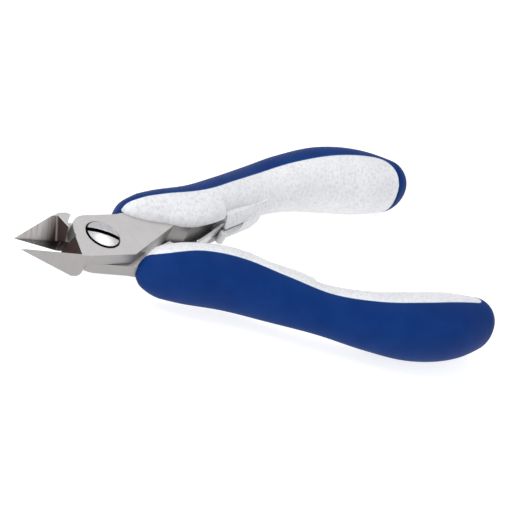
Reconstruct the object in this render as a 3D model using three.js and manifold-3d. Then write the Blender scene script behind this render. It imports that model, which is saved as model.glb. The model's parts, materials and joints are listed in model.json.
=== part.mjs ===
// Flush cutting pliers with a screwed lap joint, two-colour grips and leaf return springs.
// Millimetres. The pivot axis is +Z through the origin, the jaws point along -X and the grips
// along +X. The underside of the flat steel head lies at z = 0.
//
// Each half is described as it lies with the jaws shut, with z = 0 on the sliding face between
// the two halves, and is then turned about the pivot to where the springs hold it open.

import * as THREE from "three";
import { mergeVertices } from "three/addons/utils/BufferGeometryUtils.js";
import Module from "manifold-3d";

const wasm = await Module();
wasm.setup();

// ---- driving dimensions -------------------------------------------------------------------

const OPEN_ANGLE = THREE.MathUtils.degToRad(8.3); // between the halves, springs relaxed
const CLEARANCE = 0.3; // between pieces that are fitted together

const HEAD_THICKNESS = 6;
const HEAD_TOP = HEAD_THICKNESS / 2;
const HEAD_HALF_WIDTH = 6.4;
const LAP_GAP = 0.16; // between the two sliding faces
const PLATE_NOSE_RADIUS = 7.3; // round front of each lap plate, about the pivot
const PLATE_NOSE_ARC = THREE.MathUtils.degToRad(30.5); // how far round the nose keeps that radius
const PLATE_SIDE_START = 1.5; // how far in front of the pivot the plate's straight side starts
const JAW_HEEL_RADIUS = 8.45; // back wall of each jaw, clear of the other plate's nose
const SHOULDER_RADIUS = 12.6; // where a tang grows from half to full thickness
const JAW_LENGTH = 21.4; // pivot to cutting tip
const CUT_GAP = 0.1; // between the shut cutting edges
const JAW_HEIGHT = 6.7; // widest reach of a jaw from the cutting line
const TIP_UNDERCUT = 2.55; // how far the underside rises from the cutting heel to the tip
const CUT_HEEL = 9.3; // pivot to the rear end of the cutting edge
const JAW_FRONT_CORNER = 9.6; // where a jaw's outer side stops widening
const JAW_REAR_CORNER = 7.1; // where it meets the head
const JAW_HEEL_CORNER = 5.8; // sideways reach of the round back wall
const JAW_TOP_FRONT = { x: 11.1, y: 5.05 }; // where the jaw's outer flats start on the top face
const JAW_FLAT_DROP = 0.2; // how far the long flat stands inside the jaw's widest reach
// Each jaw's hollow, by its outer and inner corners on the top face.
const UPPER_HOLLOW = { apex: { x: 9.85, y: 5.1 }, throat: { x: 7.95, y: 0.6 } };
const LOWER_HOLLOW = { apex: { x: 8.9, y: 5.85 }, throat: { x: 7.8, y: 0.75 } };
const SLANT_START = 5.7; // where a plate's inner edge starts to slant towards its tang
const PLATE_CORNER = { x: 22, y: 2.5 }; // where the slant ends

const SCREW_HEAD_RADIUS = 3.9;
const SCREW_SHANK_RADIUS = 2.2;
const COUNTERBORE_RADIUS = 4.3;
const COUNTERBORE_FLOOR = 1.1; // height above the sliding face
const SCREW_PROUD = 0.8;
const SLOT_WIDTH = 1.2;
const SLOT_DEPTH = 1.1;
const SLOT_ANGLE = THREE.MathUtils.degToRad(-18);
const THREAD_GAP = 0.1;

const TANG_HALF_WIDTH = 2.4; // inside the grip
const PARTING_OFFSET = 0.8; // the colour line stands this far outwards from the grip's middle
const PARTING_GAP = 0.25;

const SPRING_THICKNESS = 0.6;
const SPRING_WIDTH = 3;
const SPRING_POCKET_HALF = 1.9;
const SPRING_POCKET_DEPTH = 2.6;
const NIB_RADIUS = 0.9;
const NIB_TOP = -0.3; // the nib hangs below the middle of the lug's front face
const NIB_BOTTOM = -3.4;
const NIB_FROM_FACE = 0.2; // its middle stands this far in front of that face
const NIB_SIDE = 2.65;
const LUG_FRONT = 38.9; // front face of the block that holds the spring
const LUG_REAR = 55;
const LUG_INNER = 3; // reach of the lug's inner face at its front, and where its slit ends
const LUG_INNER_AT_SLIT = 5.3;
const LUG_STEP = 0.6; // height at which that face starts to slope outwards
const LUG_STEP_DEPTH = 0.2; // how far the foot of the slope is set back
const LUG_TOP_INNER = 4.7; // reach of the lug's top face at its front
const SLIT_HALF_HEIGHT = 0.25;
const SLIT_REAR = 46;

// Grip sections from front to rear: where the middle of the section lies, half the width in the
// plane of the tool, and half the thickness across it.
const GRIP_STATIONS = [
  { x: 9.9, y: 9.2, width: 5.1, height: 6.0 },
  { x: 13, y: 7.5, width: 5.4, height: 6.4 },
  { x: 21, y: 7.1, width: 6.9, height: 7.3 },
  { x: 32, y: 8.0, width: 7.5, height: 7.3 },
  { x: 43.5, y: 12.0, width: 6.6, height: 6.6 },
  { x: 55, y: 15.8, width: 6.5, height: 5.7 },
  { x: 67, y: 18.4, width: 7.3, height: 6.8 },
  { x: 79, y: 19.3, width: 8.3, height: 8.1 },
  { x: 91, y: 18.1, width: 8.1, height: 7.9 },
  { x: 104.1, y: 15.7, width: 4.8, height: 5.9 },
];
const FRONT_DOME = 0.049; // share of the grip's length over which each end rounds off
const REAR_DOME = 0.054;
const GRIP_SIDES = 18;
const GRIP_RINGS = 30;
const END_BUNCHING = 0.8; // draws the rings closer together at the rounded ends

const CURVE_STEPS = 6; // segments to each stretch of a curved outline
const ROUND_STEPS = 48; // sides of a full circle
const REACH = 60; // larger than any piece that a cutting block has to pass through

// ---- materials ----------------------------------------------------------------------------

const steel = () => new THREE.MeshStandardMaterial({ color: 0xb9b4b1, roughness: 0.35, metalness: 1 });
const springSteel = () => new THREE.MeshStandardMaterial({ color: 0x9a9896, roughness: 0.3, metalness: 1 });
const blueRubber = () => new THREE.MeshStandardMaterial({ color: 0x0f2f7d, roughness: 0.7, metalness: 0 });
const whitePlastic = () => new THREE.MeshStandardMaterial({ color: 0xe6e6ea, roughness: 0.55, metalness: 0 });

// ---- solids -------------------------------------------------------------------------------

// A closed three.js geometry as a solid that can be joined and cut.
function solid(geometry) {
  const bare = geometry.clone();
  bare.deleteAttribute("normal");
  bare.deleteAttribute("uv");
  const merged = mergeVertices(bare, 1e-4);
  return new wasm.Manifold(
    new wasm.Mesh({
      numProp: 3,
      vertProperties: merged.getAttribute("position").array,
      triVerts: new Uint32Array(merged.index.array),
    }),
  );
}

// A finished solid as a named mesh with its own material.
function pieceMesh(name, shape, material) {
  const made = shape.getMesh();
  const geometry = new THREE.BufferGeometry();
  geometry.setAttribute("position", new THREE.BufferAttribute(made.vertProperties, 3));
  geometry.setIndex(new THREE.BufferAttribute(made.triVerts, 1));
  geometry.computeVertexNormals();
  const mesh = new THREE.Mesh(geometry, material);
  mesh.name = name;
  return mesh;
}

// An outline in the plane of the tool, pulled straight up from one height to another.
function prism(outline, bottom, top) {
  const geometry = new THREE.ExtrudeGeometry(outline, {
    depth: top - bottom,
    bevelEnabled: false,
    curveSegments: CURVE_STEPS,
  });
  return solid(geometry.translate(0, 0, bottom));
}

function disc(radius, bottom, top) {
  const geometry = new THREE.CylinderGeometry(radius, radius, top - bottom, ROUND_STEPS);
  return solid(geometry.rotateX(Math.PI / 2).translate(0, 0, (bottom + top) / 2));
}

// A block whose base lies on the plane through three points and which fills the side the
// anticlockwise normal of the three points looks at.
function blockAbove(a, b, c) {
  const plane = new THREE.Plane().setFromCoplanarPoints(a, b, c);
  const turn = new THREE.Quaternion().setFromUnitVectors(new THREE.Vector3(0, 0, 1), plane.normal);
  const block = new THREE.BoxGeometry(REACH, REACH, REACH);
  block.translate(0, 0, REACH / 2);
  block.applyQuaternion(turn);
  block.translate(a.x, a.y, a.z);
  return solid(block);
}

const polygon = (points) => new THREE.Shape(points.map(([x, y]) => new THREE.Vector2(x, y)));

// ---- the grip's middle line ---------------------------------------------------------------

const gripMiddle = new THREE.CatmullRomCurve3(
  GRIP_STATIONS.map(({ x, y }) => new THREE.Vector3(x, y, 0)),
  false,
  "catmullrom",
);
const gripSize = new THREE.CatmullRomCurve3(
  GRIP_STATIONS.map(({ width, height }) => new THREE.Vector3(width, height, 0)),
  false,
  "catmullrom",
);

// A point beside the middle line, in the plane of the tool: outwards is away from the other grip.
function besideMiddle(share, outwards) {
  const middle = gripMiddle.getPoint(share);
  const along = gripMiddle.getTangent(share);
  return new THREE.Vector2(middle.x - along.y * outwards, middle.y + along.x * outwards);
}

// The curve's own parameter runs evenly from station to station.
const stationShare = (index) => index / (GRIP_STATIONS.length - 1);

// How far the section has grown at this share of the true length, from 0 at each rounded end.
function domeFactor(lengthShare) {
  const front = Math.max(0, 1 - lengthShare / FRONT_DOME);
  const rear = Math.max(0, 1 - (1 - lengthShare) / REAR_DOME);
  return Math.sqrt(1 - front * front) * Math.sqrt(1 - rear * rear);
}

// The whole outer form of one grip: a ball drawn out along the middle line.
function gripForm() {
  const ball = new THREE.SphereGeometry(1, GRIP_SIDES, GRIP_RINGS);
  const position = ball.getAttribute("position");
  const vertex = new THREE.Vector3();
  for (let i = 0; i < position.count; i++) {
    vertex.fromBufferAttribute(position, i);
    const polar = Math.acos(THREE.MathUtils.clamp(vertex.y, -1, 1));
    const lengthShare = (polar - (END_BUNCHING * Math.sin(2 * polar)) / 2) / Math.PI;
    const share = gripMiddle.getUtoTmapping(lengthShare);
    const round = Math.atan2(vertex.z, vertex.x);
    const size = gripSize.getPoint(share).multiplyScalar(domeFactor(lengthShare));
    const side = besideMiddle(share, size.x * Math.cos(round));
    position.setXYZ(i, side.x, side.y, size.y * Math.sin(round));
  }
  return solid(ball);
}

// ---- steel halves -------------------------------------------------------------------------

// Each half has one jaw, one lap plate of half thickness and one tang. The lower-jaw half is
// described here. The upper-jaw half is the same outline mirrored across the middle plane, with
// its plate in the other layer. In the jaw's own faces, side is -1 for a jaw at -Y, +1 at +Y.

const TANG_REAR = 8; // the station where the tang ends

function tangEdge(outwards, fromStation) {
  const points = [];
  for (let station = fromStation; station <= TANG_REAR; station++)
    points.push(besideMiddle(stationShare(station), outwards));
  return points;
}

// Plate, tang and jaw seen from above. The margin widens the tang, for the pocket it sits in.
function halfOutline(margin = 0) {
  const outline = new THREE.Shape();
  const noseEnd = Math.PI - PLATE_NOSE_ARC;
  const noseCorner =
    (HEAD_HALF_WIDTH * Math.sin(noseEnd) - PLATE_NOSE_RADIUS) / -Math.cos(noseEnd);
  const rear = gripMiddle.getPoint(stationShare(TANG_REAR));
  const along = gripMiddle.getTangent(stationShare(TANG_REAR));
  const heading = Math.atan2(along.y, along.x);
  const tangReach = TANG_HALF_WIDTH + margin;
  outline.moveTo(-PLATE_NOSE_RADIUS, -CUT_GAP / 2);
  outline.absarc(0, 0, PLATE_NOSE_RADIUS, Math.PI, noseEnd, true);
  outline.quadraticCurveTo(noseCorner, HEAD_HALF_WIDTH, -PLATE_SIDE_START, HEAD_HALF_WIDTH);
  outline.lineTo(7, HEAD_HALF_WIDTH + margin);
  outline.splineThru([new THREE.Vector2(20, 8.3 + margin), ...tangEdge(tangReach, 3)]);
  outline.absarc(rear.x, rear.y, tangReach, heading + Math.PI / 2, heading - Math.PI / 2, true);
  outline.splineThru([
    ...tangEdge(-tangReach, 5).reverse().slice(1),
    new THREE.Vector2(43, 8.9 - margin),
    new THREE.Vector2(38, 6.5 - margin),
    new THREE.Vector2(33, 4.1 - margin),
    new THREE.Vector2(27, 2.1 - margin),
  ]);
  outline.lineTo(PLATE_CORNER.x, PLATE_CORNER.y);
  outline.lineTo(SLANT_START, -HEAD_HALF_WIDTH);
  outline.lineTo(-JAW_REAR_CORNER, -HEAD_HALF_WIDTH);
  outline.lineTo(-JAW_REAR_CORNER - 1, -JAW_HEIGHT);
  outline.lineTo(-JAW_FRONT_CORNER, -JAW_HEIGHT);
  outline.lineTo(-JAW_LENGTH, -CUT_GAP);
  outline.lineTo(-JAW_LENGTH, -CUT_GAP / 2);
  outline.closePath();
  return outline;
}

// What the other half's plate sweeps in its own layer, in front of the pivot, which both halves
// leave free behind their jaws.
function startSwept() {
  const heelAngle = Math.PI + Math.asin(JAW_HEEL_CORNER / JAW_HEEL_RADIUS);
  const swept = new THREE.Shape();
  swept.moveTo(-JAW_REAR_CORNER, -REACH);
  swept.lineTo(-JAW_REAR_CORNER, -HEAD_HALF_WIDTH);
  swept.absarc(0, 0, JAW_HEEL_RADIUS, heelAngle, Math.PI, true);
  swept.lineTo(-JAW_HEEL_RADIUS, SHOULDER_RADIUS);
  return swept;
}

// Under the upper plate the space is round, because the lower plate ends in a round shoulder.
function sweptByLowerPlate() {
  const swept = startSwept();
  swept.absarc(0, 0, SHOULDER_RADIUS, Math.PI / 2, -Math.PI / 2, true);
  swept.lineTo(0, -REACH);
  swept.closePath();
  return swept;
}

// Over the lower plate it also follows the slanting edge of the upper plate.
function sweptByUpperPlate() {
  const swept = startSwept();
  swept.absarc(0, 0, SHOULDER_RADIUS, Math.PI / 2, slantAngle(SHOULDER_RADIUS), true);
  swept.lineTo(PLATE_CORNER.x, -PLATE_CORNER.y + CLEARANCE);
  swept.lineTo(PLATE_CORNER.x, -REACH);
  swept.closePath();
  return swept;
}

// Where a circle about the pivot meets the other plate's slanting edge and its clearance.
function slantAngle(radius) {
  const rise = -PLATE_CORNER.y - HEAD_HALF_WIDTH;
  const slope = rise / (PLATE_CORNER.x - SLANT_START);
  const foot = HEAD_HALF_WIDTH + CLEARANCE - slope * SLANT_START; // its height over the pivot
  const heading = Math.atan(slope);
  return heading + Math.asin((foot * Math.cos(heading)) / radius);
}

// The full thickness of the upper grip's tang, which the lower plate's layer leaves free.
function tangRoom() {
  const radius = SHOULDER_RADIUS - CLEARANCE;
  const room = new THREE.Shape();
  room.moveTo(0, -REACH);
  room.absarc(0, 0, radius, -Math.PI / 2, slantAngle(radius), false);
  room.lineTo(PLATE_CORNER.x, -PLATE_CORNER.y + CLEARANCE);
  room.lineTo(PLATE_CORNER.x, -REACH);
  room.closePath();
  return room;
}

// The hollow on the upper side of a jaw: a wide bevel rising from the cutting edge to the outer
// top edge, closed at the rear by a slanting wall. Both meet in one line behind the edge.
function jawHollow(side, hollow) {
  const at = (x, y, z) => new THREE.Vector3(x, side * y, z);
  const tip = at(-JAW_LENGTH, 0, -HEAD_TOP + TIP_UNDERCUT);
  const edgeHeel = at(-CUT_HEEL, 0, -HEAD_TOP);
  const apex = at(-hollow.apex.x, hollow.apex.y, HEAD_TOP);
  const throat = at(-hollow.throat.x, hollow.throat.y, HEAD_TOP);
  const bevel = side > 0 ? blockAbove(tip, edgeHeel, apex) : blockAbove(edgeHeel, tip, apex);
  const wall = side > 0 ? blockAbove(apex, edgeHeel, throat) : blockAbove(edgeHeel, apex, throat);
  return bevel.intersect(wall);
}

// The faces that thin a jaw: its tapering underside and the two flats down its outer side.
function jawTrim(side) {
  const at = (x, y, z) => new THREE.Vector3(x, side * y, z);
  const tip = at(-JAW_LENGTH, 0, -HEAD_TOP + TIP_UNDERCUT);
  const topFront = at(-JAW_TOP_FRONT.x, JAW_TOP_FRONT.y, HEAD_TOP);
  const bottomFront = at(-JAW_FRONT_CORNER, JAW_HEIGHT - JAW_FLAT_DROP, -HEAD_TOP);
  const topRear = at(-JAW_REAR_CORNER, HEAD_HALF_WIDTH, HEAD_TOP);
  const bottomMiddle = at(-JAW_REAR_CORNER - 1, JAW_HEIGHT, -HEAD_TOP);
  const undersideHeel = at(-CUT_HEEL, 0, -HEAD_TOP);
  const undersideSide = at(-CUT_HEEL, 1, -HEAD_TOP);
  const facing = (a, b, c) => (side > 0 ? blockAbove(a, b, c) : blockAbove(b, a, c));
  const underside = facing(undersideHeel, tip, undersideSide);
  const longFlat = facing(bottomFront, tip, topFront);
  const shortFlat = facing(bottomMiddle, bottomFront, topRear);
  return underside.add(longFlat).add(shortFlat);
}

function lowerJawHalf() {
  return prism(halfOutline(), -HEAD_TOP, HEAD_TOP)
    .subtract(prism(sweptByLowerPlate(), -REACH, LAP_GAP / 2))
    .subtract(disc(SCREW_SHANK_RADIUS + CLEARANCE, -REACH, REACH))
    .subtract(disc(COUNTERBORE_RADIUS, COUNTERBORE_FLOOR, REACH))
    .subtract(jawHollow(-1, LOWER_HOLLOW))
    .subtract(jawTrim(-1));
}

function upperJawHalf() {
  return prism(flipOutline(halfOutline()), -HEAD_TOP, HEAD_TOP)
    .subtract(prism(flipOutline(sweptByUpperPlate()), -LAP_GAP / 2, REACH))
    .subtract(prism(flipOutline(tangRoom()), -REACH, REACH))
    .subtract(disc(SCREW_SHANK_RADIUS + THREAD_GAP, -REACH, REACH))
    .subtract(jawHollow(1, UPPER_HOLLOW))
    .subtract(jawTrim(1));
}

function flipOutline(shape) {
  const { shape: points } = shape.extractPoints(CURVE_STEPS);
  return new THREE.Shape(points.map((point) => new THREE.Vector2(point.x, -point.y)));
}

// ---- pivot screw --------------------------------------------------------------------------

function pivotScrew() {
  const seat = COUNTERBORE_FLOOR + THREAD_GAP;
  const top = HEAD_TOP + SCREW_PROUD;
  const profile = [
    [0, -HEAD_TOP],
    [SCREW_SHANK_RADIUS, -HEAD_TOP],
    [SCREW_SHANK_RADIUS, seat],
    [SCREW_HEAD_RADIUS, seat],
    [SCREW_HEAD_RADIUS, top - 0.6],
    [SCREW_HEAD_RADIUS - 0.5, top - 0.1],
    [0, top],
  ].map(([radius, height]) => new THREE.Vector2(radius, height));
  const body = solid(new THREE.LatheGeometry(profile, ROUND_STEPS).rotateX(Math.PI / 2));
  const slot = new THREE.BoxGeometry(REACH, SLOT_WIDTH, REACH);
  slot.translate(0, 0, REACH / 2 + top - SLOT_DEPTH);
  slot.rotateZ(SLOT_ANGLE);
  return body.subtract(solid(slot));
}

// ---- grips --------------------------------------------------------------------------------

// The inner part of the grip, seen from above: everything inside the line where the two colours
// meet. The gap moves the line inwards, for the piece that lies inside it.
function innerSide(gap) {
  const offset = PARTING_OFFSET - gap;
  const line = new THREE.Shape();
  line.moveTo(9.2 + gap, -REACH);
  line.lineTo(9.2 + gap, 5.8);
  const middle = [];
  for (let station = 1; station <= 7; station++)
    middle.push(besideMiddle(stationShare(station), offset));
  line.splineThru([...middle, new THREE.Vector2(90, 18.9 - gap), new THREE.Vector2(95.2 - gap, 16.8 - gap)]);
  line.splineThru([
    new THREE.Vector2(97.9 - gap, 14),
    new THREE.Vector2(98.3 - gap, 12),
    new THREE.Vector2(97.6 - gap, 10),
  ]);
  line.lineTo(96 - gap, -REACH);
  line.closePath();
  return line;
}

// Room for the other half's plate when the jaws are shut.
function headRoom() {
  const room = [
    [-REACH, -REACH],
    [-REACH, HEAD_HALF_WIDTH + CLEARANCE],
    [SLANT_START, HEAD_HALF_WIDTH + CLEARANCE],
    [PLATE_CORNER.x, -PLATE_CORNER.y + CLEARANCE],
    [PLATE_CORNER.x, -REACH],
  ];
  return prism(polygon(room), -HEAD_TOP - CLEARANCE, HEAD_TOP + CLEARANCE);
}

// The grip's seat on its half: full thickness round the tang, and only the plate's own layer
// within the shoulder.
function tangPocket() {
  const half = HEAD_TOP + CLEARANCE;
  return prism(halfOutline(CLEARANCE), -half, half).subtract(
    disc(SHOULDER_RADIUS - CLEARANCE, -half, -CLEARANCE),
  );
}

function gripShell() {
  return gripForm()
    .subtract(prism(innerSide(0), -REACH, REACH))
    .subtract(tangPocket())
    .subtract(headRoom());
}

// The block on the inner side that holds the spring. Its upper edge is sloped off.
function springLug(half) {
  const outline = polygon([
    [LUG_FRONT, LUG_INNER],
    [SLIT_REAR, LUG_INNER_AT_SLIT],
    [50.5, 7],
    [LUG_REAR, 9.8],
    [LUG_REAR, 12],
    [LUG_FRONT, 8],
  ]);
  const slope = blockAbove(
    new THREE.Vector3(LUG_FRONT, LUG_INNER + LUG_STEP_DEPTH, LUG_STEP),
    new THREE.Vector3(SLIT_REAR, LUG_INNER_AT_SLIT + LUG_STEP_DEPTH, LUG_STEP),
    new THREE.Vector3(LUG_FRONT, LUG_TOP_INNER, half),
  );
  return prism(outline, -half, half).subtract(slope);
}

// The slit along the lug and the pocket in its front face that takes the spring.
function lugOpenings() {
  const front = LUG_FRONT - 1; // so that both cuts come out through the front face
  const rear = LUG_FRONT + SPRING_POCKET_DEPTH;
  const slit = polygon([
    [front, 0],
    [SLIT_REAR, 0],
    [SLIT_REAR, 6.6],
    [front, 4.6],
  ]);
  const pocket = polygon([
    [front, 3.3],
    [rear, 4.6],
    [rear, 6.4],
    [front, 5.1],
  ]);
  return prism(slit, -SLIT_HALF_HEIGHT, SLIT_HALF_HEIGHT).add(
    prism(pocket, -SPRING_POCKET_HALF, SPRING_POCKET_HALF),
  );
}

function gripInsert() {
  const half = HEAD_TOP + CLEARANCE;
  // over the lap plate the lip is cut back along this line; on the other side the form is whole
  const lipEdge = polygon([
    [-REACH, -REACH],
    [8.8, 8],
    [10.4, 6.8],
    [12.6, 5.1],
    [16, 3.7],
    [21.9, 2.3],
    [26.5, 1.5],
    [30.1, 1.9],
    [35.5, 3.2],
    [LUG_FRONT, 4.5],
    [LUG_FRONT, -REACH],
  ]);
  // between the lips the steel and the spring show
  const channel = polygon([
    [0, -REACH],
    [LUG_FRONT, -REACH],
    [LUG_FRONT, 6.2],
    [26, 2],
    [0, 8],
  ]);
  const nib = disc(NIB_RADIUS, NIB_BOTTOM, NIB_TOP);
  return gripForm()
    .intersect(prism(innerSide(PARTING_GAP), -REACH, REACH))
    .subtract(prism(lipEdge, 0, REACH))
    .subtract(prism(channel, -half, half))
    .add(springLug(half))
    .add(nib.translate([LUG_FRONT - NIB_FROM_FACE, NIB_SIDE, 0]))
    .subtract(lugOpenings())
    .subtract(tangPocket())
    .subtract(headRoom());
}

// ---- leaf spring --------------------------------------------------------------------------

// A flat strip that stands out of the lug and runs forwards until its end meets the end of the
// other grip's strip on the middle plane.
function leafSpring() {
  const course = new THREE.SplineCurve(
    [
      [41, 5.4],
      [38, 3.95],
      [33, 1.2],
      [29, -0.8],
      [27.3, -1.45],
    ].map(([x, y]) => new THREE.Vector2(x, y)),
  );
  const steps = 10;
  const near = [];
  const far = [];
  for (let i = 0; i <= steps; i++) {
    const point = course.getPoint(i / steps);
    const along = course.getTangent(i / steps);
    const across = new THREE.Vector2(-along.y, along.x).multiplyScalar(SPRING_THICKNESS / 2);
    near.push(point.clone().add(across));
    far.unshift(point.clone().sub(across));
  }
  return prism(new THREE.Shape([...near, ...far]), -SPRING_WIDTH / 2, SPRING_WIDTH / 2);
}

// ---- assembly -----------------------------------------------------------------------------

const pliers = new THREE.Group();
pliers.position.z = HEAD_TOP;

// The half with the lower jaw carries the upper grip.
const lowerJawSide = new THREE.Group();
lowerJawSide.rotation.z = OPEN_ANGLE / 2;
lowerJawSide.add(
  pieceMesh("lower_jaw_half", lowerJawHalf(), steel()),
  pieceMesh("upper_grip_shell", gripShell(), blueRubber()),
  pieceMesh("upper_grip_insert", gripInsert(), whitePlastic()),
  pieceMesh("upper_leaf_spring", leafSpring(), springSteel()),
);

// The half with the upper jaw carries the screw and the lower grip, whose pieces are the same
// mouldings turned over.
const upperJawSide = new THREE.Group();
upperJawSide.rotation.z = -OPEN_ANGLE / 2;
const turnedOver = new THREE.Group();
turnedOver.rotation.x = Math.PI;
turnedOver.add(
  pieceMesh("lower_grip_shell", gripShell(), blueRubber()),
  pieceMesh("lower_grip_insert", gripInsert(), whitePlastic()),
  pieceMesh("lower_leaf_spring", leafSpring(), springSteel()),
);
upperJawSide.add(
  pieceMesh("upper_jaw_half", upperJawHalf(), steel()),
  pieceMesh("pivot_screw", pivotScrew(), steel()),
  turnedOver,
);

pliers.add(lowerJawSide, upperJawSide);

export default pliers;
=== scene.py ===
"""Flush cutting pliers: the visible pieces, built round the frame.

Grips are described in millimetres as they lie with the jaws shut, z = 0 on the sliding face
between the halves, and are then turned about the pivot to the open rest pose, in metres.
"""

import json
import math

import bmesh
import bpy
from mathutils import Matrix, Vector


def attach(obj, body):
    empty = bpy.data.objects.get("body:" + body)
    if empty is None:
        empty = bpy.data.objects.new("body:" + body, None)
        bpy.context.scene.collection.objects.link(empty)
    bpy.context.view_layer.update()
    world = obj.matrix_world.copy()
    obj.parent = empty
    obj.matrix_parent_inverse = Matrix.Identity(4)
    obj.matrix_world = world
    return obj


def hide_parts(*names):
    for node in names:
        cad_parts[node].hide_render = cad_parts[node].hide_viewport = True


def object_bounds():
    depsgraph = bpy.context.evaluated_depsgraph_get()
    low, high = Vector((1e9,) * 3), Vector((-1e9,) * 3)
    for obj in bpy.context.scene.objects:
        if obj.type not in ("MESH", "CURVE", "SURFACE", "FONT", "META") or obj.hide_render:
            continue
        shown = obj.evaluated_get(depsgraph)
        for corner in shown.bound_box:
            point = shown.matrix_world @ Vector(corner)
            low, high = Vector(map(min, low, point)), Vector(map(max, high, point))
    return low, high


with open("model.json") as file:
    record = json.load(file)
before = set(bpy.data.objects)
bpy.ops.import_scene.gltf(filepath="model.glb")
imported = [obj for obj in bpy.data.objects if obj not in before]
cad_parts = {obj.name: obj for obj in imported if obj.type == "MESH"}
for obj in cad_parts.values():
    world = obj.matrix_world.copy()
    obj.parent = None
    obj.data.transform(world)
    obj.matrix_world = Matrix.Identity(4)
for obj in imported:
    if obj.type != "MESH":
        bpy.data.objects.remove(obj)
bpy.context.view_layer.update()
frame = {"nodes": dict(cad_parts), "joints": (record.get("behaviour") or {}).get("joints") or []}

# ---- driving dimensions -------------------------------------------------------------------

MM = 0.001
PIVOT = next(j for j in frame["joints"] if j["name"] == "pivot")
HALF_OPEN = math.radians(PIVOT["range_deg"][1]) / 2
LAP_HEIGHT = PIVOT["pos_m"][2]  # the sliding face, in metres
HEAD_TOP = LAP_HEIGHT / MM  # the head reaches as far above the sliding face as below it

# Grip sections from front to rear: the middle of the section, half the width in the plane of
# the tool, and half the thickness across it.
MIDDLE = [
    (9.9, 9.2), (13, 7.5), (21, 7.1), (32, 8.0), (43.5, 12.0),
    (55, 15.8), (67, 18.4), (79, 19.3), (91, 18.1), (104.1, 15.7),
]
SIZE = [
    (5.1, 6.0), (5.4, 6.4), (6.9, 7.3), (7.5, 7.3), (6.6, 6.6),
    (6.5, 5.7), (7.3, 6.8), (8.3, 8.1), (8.1, 7.9), (4.8, 5.9),
]
FRONT_DOME = 5.6  # length over which each end rounds off
REAR_DOME = 5.4
NOSE_BLUNTNESS = 2.1  # the front end would be a plain ellipse at 2
LOOK_BACK = 4.0  # the sections stand square to the middle line's run over this stretch
LOOK_AHEAD = 6.0

# Where the blue and the white meet, as (distance along the middle line, distance outwards from
# it), over the lap plate and on the other side.
PARTING_PLATE_SIDE = [
    (1, -1.25), (1.5, -0.2), (2.3, 0.5), (4, 0.87), (8, 1.42), (21, 1.55), (32, 0.8), (52, 0.65),
    (69, 0.25), (75, 0.5), (84, 1.25),
]
PARTING_FAR_SIDE = [
    (1, -3.3), (1.5, -2.7), (2, -1.3), (3, -0.25), (5, 0.3), (13, -0.05), (24, 0.44), (45, 0.55),
    (60, 0.37), (74, -0.12), (86, -0.25),
]
WHITE_FRONT = 1.0  # distances along the middle line between which the white shows
WHITE_REAR = 91.3
PLATE_SIDE_CORNER = (5.3, 8.0)  # length and depth of the white's rounded rear corners
FAR_SIDE_CORNER = (2.5, 2.2)
WHITE_INSET = 0.05  # the white lies this much deeper than the blue

COLLAR_REACH = 1.5  # how far the nose is drawn forwards beside the tang
COLLAR_SIDE = 6.6  # how far out from the tool's middle that is strongest
COLLAR_SPREAD = 3.0  # and how fast it fades sideways
COLLAR_LENGTH = 2.6  # and along the grip
COLLAR_FADE = (4.0, 6.5)  # heights between which this dies away

# The lip over the lap plate, as (distance along, distance out from the middle line).
LIP = [
    (0.6, -0.95), (1.7, -1.65), (3.6, -2.4), (6.8, -3.4), (10.8, -4.15), (12.4, -4.8),
    (14.5, -5.5), (17.3, -5.9), (20, -5.7), (24.7, -5.5), (27.2, -5.35), (28.5, -3.95), (43, -5.8),
]
LIP_FADE = (37.0, 45.0)  # the lip's own profile gives way to the full section between these
SLOT_REAR = 28.4  # distance along at which the slot between the lips ends, at the lug
SKIN = 0.9  # thickness of the grip mouldings' skins

LUG_FRONT = 38.9  # the lug is the block that holds the leaf spring
SLIT_REAR = 46.0
SLIT_HEIGHT = 0.5
LUG_OUTLINE = [
    (LUG_FRONT, 3.0), (SLIT_REAR, 5.3), (50.5, 6.8), (54.2, 8.8), (55.0, 12.0), (LUG_FRONT, 8.0),
]
SLIT_OUTLINE = [(LUG_FRONT - 1, 0), (SLIT_REAR, 0), (SLIT_REAR, 6.6), (LUG_FRONT - 1, 4.6)]
LUG_PAST_HEAD = (0.3, 0.2)  # how far it stands past the head's flat faces, below and above
# three points of the plane that slopes its upper edge off
LUG_SLOPE = [(LUG_FRONT, 3.1, 0.3), (SLIT_REAR, 5.4, 0.3), (LUG_FRONT, 4.7, 3.3)]
NIB_RADIUS = 1.0
NIB_MIDDLE = (LUG_FRONT - 0.25, 2.75)
NIB_HEIGHTS = (-HEAD_TOP - 0.4, -0.3)

ROWS = 220  # how finely the grips' skins are divided
BLUE_COLUMNS = 44
LIP_COLUMNS = 16
SLOT_COLUMNS = 10

SCREW_RADIUS = 3.9  # of the head; its heights are from the sliding face
SCREW_TOP = 3.8
SCREW_DOME = 0.5  # how much lower the head's rim is than its middle
SCREW_SEAT = 1.2
SHANK_RADIUS = 2.2
SLOT_WIDTH = 1.25
SLOT_DEPTH = 1.1
SLOT_ANGLE = math.radians(-18)

RIM_ROUND = 0.18  # how far the edges of each kind of piece are rounded
LUG_ROUND = 0.45
NIB_ROUND = 0.25
STRIP_ROUND = 0.12
STEEL_ROUND = 0.14
SCREW_ROUND = 0.16
KEEN_SHARE = 0.2  # cutting edges are rounded by only this share of that
KEEN_ANGLE = 100  # they are the edges that turn by more than so many degrees
SKIN_MERGE = 0.002  # points of a mesh closer together than this are one
STEEL_MERGE = 0.001


# ---- curves -------------------------------------------------------------------------------


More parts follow.
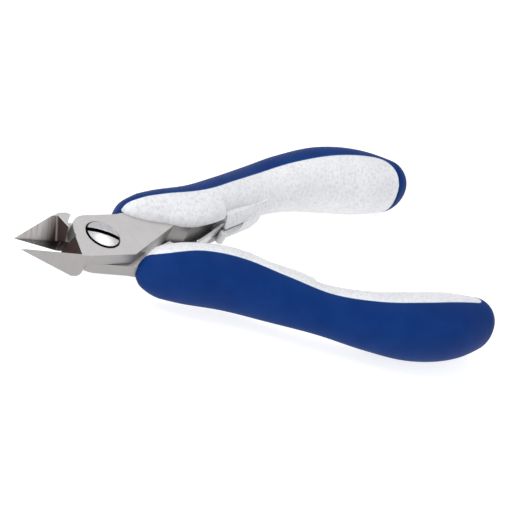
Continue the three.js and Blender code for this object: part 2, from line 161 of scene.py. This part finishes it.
def curve(points, t):
    """Place at t, from 0 to 1, on a smooth curve through evenly numbered points."""
    last = len(points) - 1
    at = min(max(t, 0), 1) * last
    i = min(int(at), last - 1)
    f = at - i
    p1, p2 = Vector(points[i]), Vector(points[i + 1])
    p0 = Vector(points[i - 1]) if i > 0 else 2 * p1 - p2
    p3 = Vector(points[i + 2]) if i + 2 <= last else 2 * p2 - p1
    v1, v2 = (p2 - p0) / 2, (p3 - p1) / 2
    cubic = 2 * (p1 - p2) + v1 + v2
    square = -3 * (p1 - p2) - 2 * v1 - v2
    return ((cubic * f + square) * f + v1) * f + p1


def graph(points, x):
    """Height at x of a smooth graph through points, level beyond its ends."""
    if x <= points[0][0]:
        return points[0][1]
    if x >= points[-1][0]:
        return points[-1][1]
    i = max(k for k, point in enumerate(points) if point[0] <= x)
    (x0, y0), (x1, y1) = points[i], points[i + 1]

    def slope(k):
        low, high = points[max(k - 1, 0)], points[min(k + 1, len(points) - 1)]
        return (high[1] - low[1]) / (high[0] - low[0])

    f = (x - x0) / (x1 - x0)
    run = x1 - x0
    ease = f * f * (3 - 2 * f)
    return (
        y0 + (y1 - y0) * ease
        + run * slope(i) * f * (1 - f) ** 2
        - run * slope(i + 1) * f * f * (1 - f)
    )


def smoothstep(low, high, x):
    f = min(max((x - low) / (high - low), 0), 1)
    return f * f * (3 - 2 * f)


STEPS = 2000  # strides along the middle line, to measure it by
LENGTHS = [0.0]
for step in range(STEPS):
    stride = curve(MIDDLE, (step + 1) / STEPS) - curve(MIDDLE, step / STEPS)
    LENGTHS.append(LENGTHS[-1] + stride.length)
GRIP_LENGTH = LENGTHS[-1]


def share_at(length):
    """The middle line's own parameter at a true distance along it."""
    low, high = 0, STEPS
    while high - low > 1:
        half = (low + high) // 2
        low, high = (half, high) if LENGTHS[half] <= length else (low, half)
    return (low + (length - LENGTHS[low]) / (LENGTHS[high] - LENGTHS[low])) / STEPS


# ---- the grip's outer form ----------------------------------------------------------------


def section(length, inset=0.0):
    """Half width and half thickness of the grip here, the ends' rounding included."""
    size = curve(SIZE, share_at(length))
    front = max(0, 1 - length / FRONT_DOME)
    rear = max(0, 1 - (GRIP_LENGTH - length) / REAR_DOME)
    dome = (1 - front**NOSE_BLUNTNESS) ** (1 / NOSE_BLUNTNESS) * math.sqrt(1 - rear * rear)
    return max(size.x * dome - inset, 0), max(size.y * dome - inset, 0)


def beside(length, outwards, height):
    """A point beside the middle line: outwards is away from the other grip."""
    middle = curve(MIDDLE, share_at(length))
    behind = curve(MIDDLE, share_at(max(length - LOOK_BACK, 0)))
    ahead = curve(MIDDLE, share_at(min(length + LOOK_AHEAD, GRIP_LENGTH)))
    along = (ahead - behind).normalized()
    x = middle.x - along.y * outwards
    y = middle.y + along.x * outwards
    # the nose reaches forwards where it meets the tang's side
    near_side = math.exp(-(((y - COLLAR_SIDE) / COLLAR_SPREAD) ** 2))
    near_front = math.exp(-((length / COLLAR_LENGTH) ** 2))
    low = 1 - smoothstep(*COLLAR_FADE, height)
    return Vector((x - COLLAR_REACH * near_side * near_front * low, y, height))


def parting_angle(length, line, corner):
    """Angle round the section, from its outermost point, at which blue and white meet."""
    at = min(max(length, WHITE_FRONT), WHITE_REAR)
    run, depth = corner
    past = max(0, (at - (WHITE_REAR - run)) / run)
    out = graph(line, at) - depth * (1 - math.sqrt(max(0, 1 - past * past)))
    return math.acos(max(-1, min(1, out / section(at)[0])))


def parting_angles(length):
    """The two angles at which blue and white meet, on the plate's side and on the far side."""
    return (
        parting_angle(length, PARTING_PLATE_SIDE, PLATE_SIDE_CORNER),
        parting_angle(length, PARTING_FAR_SIDE, FAR_SIDE_CORNER),
    )


def lip_angle(length):
    """Angle round the section at which the form comes down to the head's flat face."""
    at = min(max(length, WHITE_FRONT), WHITE_REAR)
    thickness = section(at)[1]
    return math.pi - math.asin(min(1, HEAD_TOP / thickness))


def on_form(length, angle, inset=0.0):
    """The outer form as (out, height) at an angle round the section."""
    width, thickness = section(length, inset)
    return width * math.cos(angle), thickness * math.sin(angle)


def white_section(length):
    """The white's section as (out, height) pairs, from one parting line to the other."""
    plate_parting, far_parting = parting_angles(length)
    lip = lip_angle(length)
    near_lip, far_lip = max(lip, plate_parting), max(lip, far_parting)
    top = on_form(length, plate_parting, WHITE_INSET)
    rest_out = graph(LIP, length)
    own = 1 - smoothstep(*LIP_FADE, length)
    points = []
    for i in range(LIP_COLUMNS + 1):
        t = i / LIP_COLUMNS
        full = on_form(length, plate_parting + (near_lip - plate_parting) * t, WHITE_INSET)
        turn = t * math.pi / 2
        arch = (
            top[0] + (rest_out - top[0]) * math.sin(turn),
            HEAD_TOP + (top[1] - HEAD_TOP) * math.cos(turn),
        )
        points.append(tuple(a * (1 - own) + b * own for a, b in zip(full, arch)))
    shift = points[-1][0] - on_form(length, near_lip, WHITE_INSET)[0]
    for i in range(1, SLOT_COLUMNS):
        t = i / SLOT_COLUMNS
        angle = near_lip + (2 * math.pi - near_lip - far_lip) * t
        out, height = on_form(length, angle, WHITE_INSET)
        points.append((out + shift * (1 - t), height))
    for i in range(LIP_COLUMNS + 1):
        t = 1 - i / LIP_COLUMNS
        angle = far_parting + (far_lip - far_parting) * t
        out, height = on_form(length, angle, WHITE_INSET)
        points.append((out, -height))
    return points


def blue_section(length):
    """The blue's section as (out, height) pairs, from one parting line to the other."""
    plate_parting, far_parting = parting_angles(length)
    sweep = plate_parting + far_parting
    return [
        on_form(length, plate_parting - sweep * i / BLUE_COLUMNS) for i in range(BLUE_COLUMNS + 1)
    ]


def cap_section(length):
    """The rest of the ring round an all-blue end."""
    plate_parting, far_parting = parting_angles(length)
    sweep = 2 * math.pi - plate_parting - far_parting
    columns = 2 * LIP_COLUMNS
    return [on_form(length, plate_parting + sweep * i / columns) for i in range(columns + 1)]


def row_lengths(first, last):
    """Distances along the middle line, closest together where the grip's ends round off."""
    even = [GRIP_LENGTH * (1 - math.cos(math.pi * i / ROWS)) / 2 for i in range(ROWS + 1)]
    inside = [x for x in even if first + 0.05 < x < last - 0.05]
    return [first, *inside, last]


# ---- mesh helpers -------------------------------------------------------------------------


def at_rest(point, turned_over):
    """From a half as it lies with the jaws shut to the rest pose, in metres."""
    x, y, z = point * MM
    if turned_over:
        y, z = -y, -z
    turn = -HALF_OPEN if turned_over else HALF_OPEN
    return Matrix.Rotation(turn, 3, "Z") @ Vector((x, y, z)) + Vector((0, 0, LAP_HEIGHT))


def new_object(name, bm, sharp_over=30):
    """Finishes a mesh: faces outwards, smooth but for edges sharper than so many degrees."""
    bmesh.ops.recalc_face_normals(bm, faces=bm.faces)
    centre = sum((v.co for v in bm.verts), Vector()) / len(bm.verts)
    outwards = sum(
        face.normal.dot(face.calc_center_median() - centre) * face.calc_area() for face in bm.faces
    )
    if outwards < 0:
        bmesh.ops.reverse_faces(bm, faces=bm.faces)
    for face in bm.faces:
        face.smooth = True
    for edge in bm.edges:
        edge.smooth = edge.calc_face_angle(0) < math.radians(sharp_over)
    mesh = bpy.data.meshes.new(name)
    bm.to_mesh(mesh)
    bm.free()
    made = bpy.data.objects.new(name, mesh)
    bpy.context.scene.collection.objects.link(made)
    return made


def add_grid(bm, rows):
    """Quads between rows of points, each row the same number of points."""
    grid = [[bm.verts.new(point) for point in row] for row in rows]
    faces = {}
    for r in range(len(grid) - 1):
        for c in range(len(grid[0]) - 1):
            faces[r, c] = bm.faces.new(
                (grid[r][c], grid[r + 1][c], grid[r + 1][c + 1], grid[r][c + 1])
            )
    return grid, faces


def merge(bm, distance):
    bmesh.ops.remove_doubles(bm, verts=bm.verts, dist=distance * MM)


def ring(radius, count):
    """Points evenly round a circle."""
    angles = (2 * math.pi * i / count for i in range(count))
    return [(radius * math.cos(angle), radius * math.sin(angle)) for angle in angles]


def bevel(made, width, segments=3, over=40, keen_over=180):
    """Rounds the edges that turn by more than so many degrees, and keen ones much less."""
    bm = bmesh.new()
    bm.from_mesh(made.data)
    weight = bm.edges.layers.float.new("bevel_weight_edge")
    for edge in bm.edges:
        turn = math.degrees(edge.calc_face_angle(0))
        share = KEEN_SHARE if turn > keen_over else 1.0
        edge[weight] = share if turn > over and edge.is_manifold else 0.0
    bm.to_mesh(made.data)
    bm.free()
    rim = made.modifiers.new("rounding", "BEVEL")
    rim.width = width * MM
    rim.segments = segments
    rim.limit_method = "WEIGHT"
    return made


def add_prism(bm, outline, bottom, top, turned_over):
    """An outline in the plane of the tool, pulled from one height to another."""
    low, high = (
        [bm.verts.new(at_rest(Vector((x, y, z)), turned_over)) for x, y in outline]
        for z in (bottom, top)
    )
    bm.faces.new(low)
    bm.faces.new(high)
    for i in range(len(outline)):
        j = (i + 1) % len(outline)
        bm.faces.new((low[i], low[j], high[j], high[i]))


def cut(made, cutter):
    """Takes the cutter out of the piece, for good."""
    boolean = made.modifiers.new("cut", "BOOLEAN")
    boolean.operation = "DIFFERENCE"
    boolean.solver = "EXACT"
    boolean.object = cutter
    apply_modifiers(made)
    bpy.data.objects.remove(cutter)


def apply_modifiers(made):
    """Turns what the modifiers show into the piece's own mesh."""
    bpy.context.view_layer.update()
    shown = made.evaluated_get(bpy.context.evaluated_depsgraph_get())
    mesh = bpy.data.meshes.new_from_object(shown)
    made.modifiers.clear()
    made.data = mesh


# ---- materials ----------------------------------------------------------------------------


MOULD_EDGE = "mould_edge"  # 1 along the blue moulding's edge against the white, where a painted highlight lies
SHUT_PLACE = "shut_place"  # each point's place in millimetres with the jaws shut, jaw at +y
GRINDING = (2.6, 0.12, 0.12)  # fineness of the grinding lines, which run across the tool
BRIGHT_ROUGHNESS = (0.25, 0.38)  # the screw's and the springs' steel
JAW_ROUGHNESS = (0.3, 0.42)
PAINTED_SIDE_SHADE = 0.64  # painted shade darkening the upright sides, against the flat faces
# dark brown painted reflection in the jaws' hollow
PAINTED_DARK_REFLECTION = (0.035, 0.016, 0.015)
# near-black painted shade for the screw's flanks and slot
PAINTED_SHADE_BLACK = (0.02, 0.018, 0.018)

# The hollow ground into the jaws, with x negative ahead of the pivot and y out from the edge.
HOLLOW_REAR = (-7.6, -7.2)  # x at which it ends
EDGE_FACET = (0.5, 0.8)  # y at which the facet along the cutting edge ends
THROAT_SHADE = (-15.5, -11.6)  # x at which the painted dark reflection turns from bright to black, along the edge
THROAT_LEAN = 0.46  # that lies this much further back for each millimetre out
RIDGE_AHEAD = 9.5  # a paler painted highlight ridge crosses the painted black this far ahead of the pivot
RIDGE_LEAN = 0.108  # and leans forwards by this for each millimetre out
RIDGE_WIDTH = (0.08, 0.3)
# share of the painted black kept on the ridge, which leaves a painted highlight
RIDGE_REFLECTION_SHARE = 0.35


class Nodes:
    """A material's node tree, with short ways to add and join nodes."""

    def __init__(self, name):
        self.material = bpy.data.materials.new(name)
        self.material.use_nodes = True
        self.tree = self.material.node_tree
        self.shader = self.tree.nodes["Principled BSDF"]

    def add(self, kind, **settings):
        node = self.tree.nodes.new(kind)
        for key, value in settings.items():
            if key in node.inputs:
                node.inputs[key].default_value = value
            else:
                setattr(node, key, value)
        return node

    def put(self, value, socket):
        """Gives a socket a number, a color, or what another node puts out."""
        if isinstance(value, (int, float)):
            socket.default_value = value
        elif isinstance(value, tuple):
            socket.default_value = (*value, 1)
        else:
            self.tree.links.new(value, socket)

    def feed(self, name, value):
        """Sets one of the surface's own inputs."""
        self.put(value, self.shader.inputs[name])

    def position(self):
        return self.add("ShaderNodeTexCoord").outputs["Object"]

    def axes(self, vector):
        node = self.add("ShaderNodeSeparateXYZ")
        self.put(vector, node.inputs["Vector"])
        return node.outputs["X"], node.outputs["Y"], node.outputs["Z"]

    def facing_up(self):
        """1 on faces that look straight up, 0 on upright ones, -1 on those that look down."""
        return self.axes(self.add("ShaderNodeNewGeometry").outputs["Normal"])[2]

    def math(self, operation, first, second=0.0):
        node = self.add("ShaderNodeMath", operation=operation)
        for socket, value in zip(node.inputs, (first, second)):
            self.put(value, socket)
        return node.outputs["Value"]

    def both(self, first, second):
        """The share that two masks have in common."""
        return self.math("MULTIPLY", first, second)

    def noise(self, vector, scale, detail, rough=0.55):
        node = self.add("ShaderNodeTexNoise", Scale=scale, Detail=detail, Roughness=rough)
        self.put(vector, node.inputs["Vector"])
        return node.outputs["Fac"]

    def ramp(self, source, *stops):
        node = self.add("ShaderNodeValToRGB")
        elements = node.color_ramp.elements
        while len(elements) < len(stops):
            elements.new(0.5)
        for element, (place, color) in zip(elements, stops):
            element.position = place
            element.color = (*color, 1)
        self.put(source, node.inputs["Fac"])
        return node.outputs["Color"]

    def levels(self, source, low, high, from_low=0.3, from_high=0.7):
        """Runs from low to high while the source runs between its own two values."""
        node = self.add("ShaderNodeMapRange")
        node.inputs["From Min"].default_value = from_low
        node.inputs["From Max"].default_value = from_high
        node.inputs["To Min"].default_value = low
        node.inputs["To Max"].default_value = high
        self.put(source, node.inputs["Value"])
        return node.outputs["Result"]

    def mix(self, amount, first, second, blend="MIX"):
        node = self.add("ShaderNodeMix", data_type="RGBA", blend_type=blend)
        for socket, value in ((0, amount), (6, first), (7, second)):
            self.put(value, node.inputs[socket])
        return node.outputs[2]

    def tint(self, color, tone):
        return self.mix(1.0, color, tone, "MULTIPLY")

    def bump(self, height, distance, strength):
        node = self.add("ShaderNodeBump", Distance=distance * MM, Strength=strength)
        self.put(height, node.inputs["Height"])
        self.feed("Normal", node.outputs["Normal"])


class Steel(Nodes):
    """Satin ground steel: grinding lines across the tool, with painted shade darkening its
    crevices.
    """

    def __init__(self, name, base, contrast, crevice):
        super().__init__(name)
        self.place = self.add("ShaderNodeAttribute", attribute_name=SHUT_PLACE).outputs["Vector"]
        stretch = self.add("ShaderNodeMapping", Scale=GRINDING)
        self.put(self.place, stretch.inputs["Vector"])
        self.lines = self.noise(stretch.outputs["Vector"], 1.0, 5, 0.65)
        cloud = self.noise(self.place, 0.35, 3)
        dark = tuple(c * (1 - contrast) for c in base)
        light = tuple(min(1, c * (1 + contrast)) for c in base)
        tone = self.ramp(cloud, (0.35, (0.95, 0.95, 0.96)), (0.65, (1, 1, 1)))
        self.color = self.tint(self.ramp(self.lines, (0.3, dark), (0.7, light)), tone)
        # painted shade: an occlusion test darkens the colour in crevices and between parts
        closed_in = self.add("ShaderNodeAmbientOcclusion", Distance=crevice * MM, samples=8)
        self.painted_crevice_shade = self.ramp(
            closed_in.outputs["AO"], (0.12, (0.03, 0.02, 0.02)), (0.6, (1, 1, 1))
        )
        self.feed("Metallic", 1.0)
        self.bump(self.lines, 0.01, 0.25)


def spring_steel():
    """The bright rolled strip of the leaf springs."""
    steel = Steel("spring_steel", base=(0.55, 0.54, 0.53), contrast=0.05, crevice=2.5)
    # painted crevice shade darkens the strip's colour
    steel.feed("Base Color", steel.tint(steel.color, steel.painted_crevice_shade))
    steel.feed("Roughness", steel.levels(steel.lines, *BRIGHT_ROUGHNESS))
    return steel.material


def screw_steel():
    """The screw's ground top and end faces, with near-black painted shade on its flanks and slot.
    """
    steel = Steel("screw_steel", base=(0.66, 0.65, 0.64), contrast=0.05, crevice=1.6)
    height = steel.axes(steel.place)[2]
    slot_floor = SCREW_TOP - SLOT_DEPTH
    above = steel.levels(height, 0, 1, slot_floor + 0.05, slot_floor + 0.3)
    up = steel.facing_up()
    top = steel.both(steel.levels(up, 0, 1, 0.45, 0.75), above)
    end = steel.levels(up, 1, 0, -0.75, -0.45)
    # painted crevice shade on the ground faces; all other faces get near-black painted shade
    ground = steel.tint(steel.color, steel.painted_crevice_shade)
    steel.feed("Base Color", steel.mix(steel.math("MAXIMUM", top, end), PAINTED_SHADE_BLACK, ground))
    steel.feed("Roughness", steel.levels(steel.lines, *BRIGHT_ROUGHNESS))
    return steel.material


def jaw_hollow(steel, x, y, up):
    """Mask of the hollow behind the cutting edges: its sloping floor and the edge's facet."""
    below_flat = steel.levels(up, 1, 0, 0.9, 0.97)
    sloping = steel.both(steel.levels(up, 0, 1, 0.12, 0.2), below_flat)
    at_edge = steel.both(steel.levels(y, 1, 0, *EDGE_FACET), below_flat)
    in_jaw = steel.levels(x, 1, 0, *HOLLOW_REAR)
    return steel.both(steel.math("MAXIMUM", sloping, at_edge), in_jaw)


def painted_throat_reflection(steel, x, y):
    """Painted dark reflection in the hollow: how black it is, from its bright point to its throat,
    lighter along a painted highlight ridge.
    """
    from_throat = steel.math("SUBTRACT", x, steel.math("MULTIPLY", y, THROAT_LEAN))
    along_ridge = steel.math("ADD", x, steel.math("MULTIPLY", y, RIDGE_LEAN))
    off_ridge = steel.math("ABSOLUTE", steel.math("ADD", along_ridge, RIDGE_AHEAD))
    ridge = steel.levels(off_ridge, RIDGE_REFLECTION_SHARE, 1, *RIDGE_WIDTH)
    return steel.both(steel.levels(from_throat, 0, 1, *THROAT_SHADE), ridge)


def jaw_steel():
    """The halves' steel: painted shade on the upright sides, and a hollow painted with a dark
    reflection that turns black towards its throat.
    """
    steel = Steel("jaw_steel", base=(0.525, 0.5, 0.485), contrast=0.03, crevice=1.2)
    x, y, _ = steel.axes(steel.place)
    up = steel.facing_up()
    hollow = jaw_hollow(steel, x, y, up)
    # painted shade: upright faces darker by their slope, the hollow left out
    side = steel.levels(steel.math("ABSOLUTE", up), PAINTED_SIDE_SHADE, 1.0, 0.12, 0.4)
    color = steel.tint(steel.color, steel.math("MAXIMUM", side, hollow))
    streaks = steel.ramp(
        steel.lines,
        (0.36, (0.68, 0.64, 0.63)),
        (0.5, (0.98, 0.96, 0.95)),
        (0.62, (1, 0.99, 0.98)),
    )
    color = steel.mix(hollow, color, steel.tint(color, streaks))
    # painted dark reflection laid over the hollow
    color = steel.mix(steel.both(hollow, painted_throat_reflection(steel, x, y)), color, PAINTED_DARK_REFLECTION)
    # painted crevice shade, left off the flat tops
    flat_top = steel.levels(up, 0, 1, 0.96, 0.99)
    shadow = steel.mix(flat_top, steel.painted_crevice_shade, (1, 1, 1))
    steel.feed("Base Color", steel.tint(color, shadow))
    steel.feed("Metallic", steel.math("SUBTRACT", 0.7, steel.math("MULTIPLY", hollow, 0.5)))
    rough = steel.levels(steel.lines, *JAW_ROUGHNESS)
    steel.feed("Roughness", steel.math("ADD", rough, steel.math("MULTIPLY", hollow, 0.2)))
    return steel.material


def blue_rubber():
    """Matte moulded elastomer with a very fine grain and a painted highlight along its edge
    against the white.
    """
    nodes = Nodes("grip_blue")
    place = nodes.position()
    grain = nodes.noise(place, 3200, 3, 0.6)
    cloud = nodes.noise(place, 150, 3)
    color = nodes.ramp(cloud, (0.3, (0.001, 0.023, 0.13)), (0.7, (0.003, 0.031, 0.154)))
    color = nodes.tint(color, nodes.ramp(grain, (0.3, (0.86, 0.88, 0.92)), (0.7, (1, 1, 1))))
    edge = nodes.add("ShaderNodeAttribute", attribute_name=MOULD_EDGE).outputs["Fac"]
    # painted highlight: paler blue flecks along the moulding's edge
    painted_edge_highlight = nodes.both(nodes.levels(edge, 0, 0.5, 0.3, 1.0), nodes.levels(grain, 0.6, 1))
    nodes.feed("Base Color", nodes.mix(painted_edge_highlight, color, (0.05, 0.2, 0.48)))
    nodes.feed("Roughness", nodes.levels(grain, 0.5, 0.66))
    nodes.feed("Specular IOR Level", 0.08)
    nodes.bump(grain, 0.02, 0.5)
    return nodes.material


def white_plastic():
    """Off-white moulding, mottled with soft grey flecks."""
    nodes = Nodes("grip_white")
    place = nodes.position()
    flecks = nodes.noise(place, 1300, 5, 0.6)
    cloud = nodes.noise(place, 170, 3)
    color = nodes.ramp(
        flecks,
        (0.34, (0.60, 0.595, 0.60)),
        (0.46, (0.69, 0.685, 0.69)),
        (0.62, (0.745, 0.745, 0.745)),
    )
    tone = nodes.ramp(cloud, (0.3, (0.93, 0.93, 0.94)), (0.65, (1, 1, 1)))
    nodes.feed("Base Color", nodes.tint(color, tone))
    nodes.feed("Roughness", nodes.levels(flecks, 0.42, 0.56))
    nodes.bump(flecks, 0.03, 0.4)
    return nodes.material


def floor_white():
    """Plain pale ground that shows only the object's own soft shadow."""
    nodes = Nodes("floor")
    cloud = nodes.noise(nodes.position(), 8, 2)
    color = nodes.ramp(cloud, (0.3, (0.5, 0.5, 0.5)), (0.7, (0.52, 0.52, 0.52)))
    nodes.feed("Base Color", color)
    nodes.feed("Roughness", 0.9)
    nodes.feed("Specular IOR Level", 0.1)
    nodes.feed("Emission Color", (1, 1, 1))
    nodes.feed("Emission Strength", 0.72)
    return nodes.material


# ---- pieces -------------------------------------------------------------------------------


def skin_rows(lengths, section_at, turned_over):
    """Rows of points on the grip, one at each distance along the middle line."""
    return [
        [at_rest(beside(x, out, height), turned_over) for out, height in section_at(x)]
        for x in lengths
    ]


def moulded_skin(name, bm, segments):
    """Closes an open skin with its own thickness, inwards, and rounds its rim."""
    merge(bm, SKIN_MERGE)
    made = new_object(name, bm, sharp_over=80)
    thick = made.modifiers.new("skin", "SOLIDIFY")
    thick.thickness = SKIN * MM
    thick.offset = -1.0
    apply_modifiers(made)
    return bevel(made, RIM_ROUND, segments)


def blue_skin(name, turned_over):
    """The outer moulding, which closes round both ends of the grip."""
    bm = bmesh.new()
    edge_layer = bm.verts.layers.float.new(MOULD_EDGE)
    lengths = row_lengths(0, GRIP_LENGTH)
    grid, _ = add_grid(bm, skin_rows(lengths, blue_section, turned_over))
    for length, row in zip(lengths, grid):
        if WHITE_FRONT < length < WHITE_REAR:
            row[0][edge_layer] = row[-1][edge_layer] = 1.0
    for first, last in ((0, WHITE_FRONT), (WHITE_REAR, GRIP_LENGTH)):
        add_grid(bm, skin_rows(row_lengths(first, last), cap_section, turned_over))
    return moulded_skin(name, bm, segments=3)


def white_skin(name, turned_over):
    """The inner moulding, open between its two lips as far back as the lug."""
    bm = bmesh.new()
    lengths = row_lengths(WHITE_FRONT, WHITE_REAR)
    _, faces = add_grid(bm, skin_rows(lengths, white_section, turned_over))
    slot = [
        face
        for (r, c), face in faces.items()
        if lengths[r + 1] <= SLOT_REAR and LIP_COLUMNS <= c < LIP_COLUMNS + SLOT_COLUMNS
    ]
    bmesh.ops.delete(bm, geom=slot, context="FACES")
    return moulded_skin(name, bm, segments=2)


def spring_lug(name, turned_over):
    """The block on the inner side that holds the spring, with its slit and sloped upper edge."""
    bm = bmesh.new()
    below, above = LUG_PAST_HEAD
    add_prism(bm, LUG_OUTLINE, -HEAD_TOP - below, HEAD_TOP + above, turned_over)
    corner, rear, top = [at_rest(Vector(point), turned_over) for point in LUG_SLOPE]
    sliced = bmesh.ops.bisect_plane(
        bm,
        geom=bm.verts[:] + bm.edges[:] + bm.faces[:],
        plane_co=corner,
        plane_no=(rear - corner).cross(top - corner),
        clear_outer=True,
    )
    edges = [g for g in sliced["geom_cut"] if isinstance(g, bmesh.types.BMEdge)]
    bmesh.ops.edgeloop_fill(bm, edges=edges)
    made = new_object(name, bm, sharp_over=20)
    slit = bmesh.new()
    add_prism(slit, SLIT_OUTLINE, -SLIT_HEIGHT / 2, SLIT_HEIGHT / 2, turned_over)
    cut(made, new_object(name + "_slit", slit))
    return bevel(made, LUG_ROUND, segments=4, over=35)


def nib(name, turned_over):
    """The small round post under the middle of the lug's front face."""
    bm = bmesh.new()
    outline = [(NIB_MIDDLE[0] + x, NIB_MIDDLE[1] + y) for x, y in ring(NIB_RADIUS, 32)]
    add_prism(bm, outline, *NIB_HEIGHTS, turned_over)
    return bevel(new_object(name, bm), NIB_ROUND, over=50)


def from_cad(name, node, width, segments=3, keen_over=180):
    """A copy of one of the frame's pieces, flat faces made whole and edges rounded."""
    bm = bmesh.new()
    bm.from_mesh(frame["nodes"][node].data)
    merge(bm, STEEL_MERGE)
    bmesh.ops.dissolve_limit(
        bm, angle_limit=math.radians(1.0), verts=bm.verts, edges=bm.edges, delimit={"NORMAL"}
    )
    made = new_object(name, bm, sharp_over=22)
    return bevel(made, width, segments, over=22, keen_over=keen_over)


def screw(name):
    """Turned screw with a domed head and a milled slot."""
    bm = bmesh.new()
    profile = [
        (0, -HEAD_TOP),
        (SHANK_RADIUS, -HEAD_TOP),
        (SHANK_RADIUS, SCREW_SEAT),
        (SCREW_RADIUS, SCREW_SEAT),
    ]
    for i in range(9):
        share = 1 - i / 8
        profile.append((SCREW_RADIUS * share, SCREW_TOP - SCREW_DOME * share**2))
    rings = []
    for radius, z in profile:
        round_points = [at_rest(Vector((x, y, z)), False) for x, y in ring(radius, 72)]
        rings.append([*round_points, round_points[0]])
    add_grid(bm, rings)
    merge(bm, STEEL_MERGE)
    made = new_object(name, bm, sharp_over=35)
    slot = bmesh.new()
    half, reach = SLOT_WIDTH / 2, 2 * SCREW_RADIUS
    turn = SLOT_ANGLE - 2 * HALF_OPEN  # the screw turns with the other half
    outline = [
        (x * math.cos(turn) - y * math.sin(turn), x * math.sin(turn) + y * math.cos(turn))
        for x, y in ((-reach, -half), (reach, -half), (reach, half), (-reach, half))
    ]
    add_prism(slot, outline, SCREW_TOP - SLOT_DEPTH, SCREW_TOP + 1, False)
    cut(made, new_object(name + "_slot", slot))
    for polygon in made.data.polygons:
        polygon.use_smooth = True
    return bevel(made, SCREW_ROUND, over=35)


# ---- materials and bodies of the pieces ---------------------------------------------------

STEELS = {"jaw_steel": jaw_steel(), "screw_steel": screw_steel(), "spring_steel": spring_steel()}
MATERIALS = {**STEELS, "grip_blue": blue_rubber(), "grip_white": white_plastic()}


def note_shut_place(made, turned_over):
    """Stores where each point lies with the jaws shut, which the steel's pattern follows."""
    turn = Matrix.Rotation(HALF_OPEN if turned_over else -HALF_OPEN, 3, "Z")
    values = []
    for vertex in made.data.vertices:
        x, y, z = turn @ (vertex.co - Vector((0, 0, LAP_HEIGHT))) / MM
        values.extend((x, y if turned_over else -y, z))
    layer = made.data.attributes.new(SHUT_PLACE, "FLOAT_VECTOR", "POINT")
    layer.data.foreach_set("vector", values)


def finish_piece(made, slot, body, node):
    """Gives a piece its material and the body it moves with, and hides the frame's piece it stands
    for.
    """
    if slot in STEELS:
        note_shut_place(made, body == "upper_jaw_side")
    made.data.materials.clear()
    made.data.materials.append(MATERIALS[slot])
    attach(made, body)
    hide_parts(node)


for grip, turned, body in (
    ("upper", False, "lower_jaw_side"),
    ("lower", True, "upper_jaw_side"),
):
    insert_node, spring_node = f"{grip}_grip_insert", f"{grip}_leaf_spring"
    finish_piece(blue_skin(f"{grip}_blue_skin", turned), "grip_blue", body, f"{grip}_grip_shell")
    finish_piece(white_skin(f"{grip}_white_skin", turned), "grip_white", body, insert_node)
    finish_piece(spring_lug(f"{grip}_spring_lug", turned), "grip_white", body, insert_node)
    finish_piece(nib(f"{grip}_nib", turned), "grip_white", body, insert_node)
    strip = from_cad(f"{grip}_spring_strip", spring_node, STRIP_ROUND, segments=2)
    finish_piece(strip, "spring_steel", f"{grip}_spring", spring_node)

for node, body in (("lower_jaw_half", "lower_jaw_side"), ("upper_jaw_half", "upper_jaw_side")):
    half = from_cad(node + "_ground", node, STEEL_ROUND, keen_over=KEEN_ANGLE)
    finish_piece(half, "jaw_steel", body, node)
finish_piece(screw("slotted_screw"), "screw_steel", "upper_jaw_side", "pivot_screw")

# ---- floor, light and camera --------------------------------------------------------------

box_low, box_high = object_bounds()
middle = (box_low + box_high) / 2

FLOOR_SIZE = 4.0
floor_bm = bmesh.new()
bmesh.ops.create_grid(floor_bm, x_segments=1, y_segments=1, size=FLOOR_SIZE / 2)
floor = new_object("floor", floor_bm)
floor.location = (middle.x, middle.y, box_low.z)
floor.data.materials.append(floor_white())

world = bpy.data.worlds.new("studio")
bpy.context.scene.world = world
world.use_nodes = True
background = world.node_tree.nodes["Background"]
background.inputs["Color"].default_value = (0.93, 0.95, 1.0, 1)
background.inputs["Strength"].default_value = 0.75


def towards(azimuth, elevation):
    """Direction in space: azimuth 0 is to the front, along -y."""
    level = math.cos(elevation)
    return Vector((math.sin(azimuth) * level, -math.cos(azimuth) * level, math.sin(elevation)))


def soft_box(name, azimuth, elevation, distance, size, power):
    """A square soft light that faces the object's middle."""
    light = bpy.data.lights.new(name, "AREA")
    light.shape = "SQUARE"
    light.size = size
    light.energy = power
    made = bpy.data.objects.new(name, light)
    bpy.context.scene.collection.objects.link(made)
    away = towards(math.radians(azimuth), math.radians(elevation))
    made.location = middle + away * distance
    made.rotation_mode = "QUATERNION"
    made.rotation_quaternion = away.to_track_quat("Z", "Y")


soft_box("key", azimuth=-112, elevation=52, distance=0.8, size=0.5, power=3.2)
soft_box("rim", azimuth=134, elevation=54, distance=0.8, size=0.25, power=0.5)
soft_box("fill", azimuth=-35, elevation=22, distance=0.9, size=0.5, power=2.4)

AZIMUTH, ELEVATION, ROLL = math.radians(-46.45), math.radians(33.77), math.radians(31.83)
DISTANCE = 0.642
FOCAL_LENGTH = 201.7
SENSOR_WIDTH = 36
AIM_RIGHT, AIM_DOWN = 0.03541, 0.00241  # what the camera looks at, from the pivot as it sees it

back = towards(AZIMUTH, ELEVATION)
level = Vector((math.cos(AZIMUTH), math.sin(AZIMUTH), 0))
upright = back.cross(level)
right = level * math.cos(ROLL) + upright * math.sin(ROLL)
up = -level * math.sin(ROLL) + upright * math.cos(ROLL)
aim = Vector((0, 0, LAP_HEIGHT)) + right * AIM_RIGHT - up * AIM_DOWN

camera_data = bpy.data.cameras.new("camera")
camera_data.lens = FOCAL_LENGTH
camera_data.sensor_width = SENSOR_WIDTH
camera = bpy.data.objects.new("camera", camera_data)
bpy.context.scene.collection.objects.link(camera)
turned = Matrix((right, up, back)).transposed().to_4x4()
camera.matrix_world = Matrix.Translation(aim + back * DISTANCE) @ turned
bpy.context.scene.camera = camera
bpy.context.scene.view_settings.view_transform = "Standard"
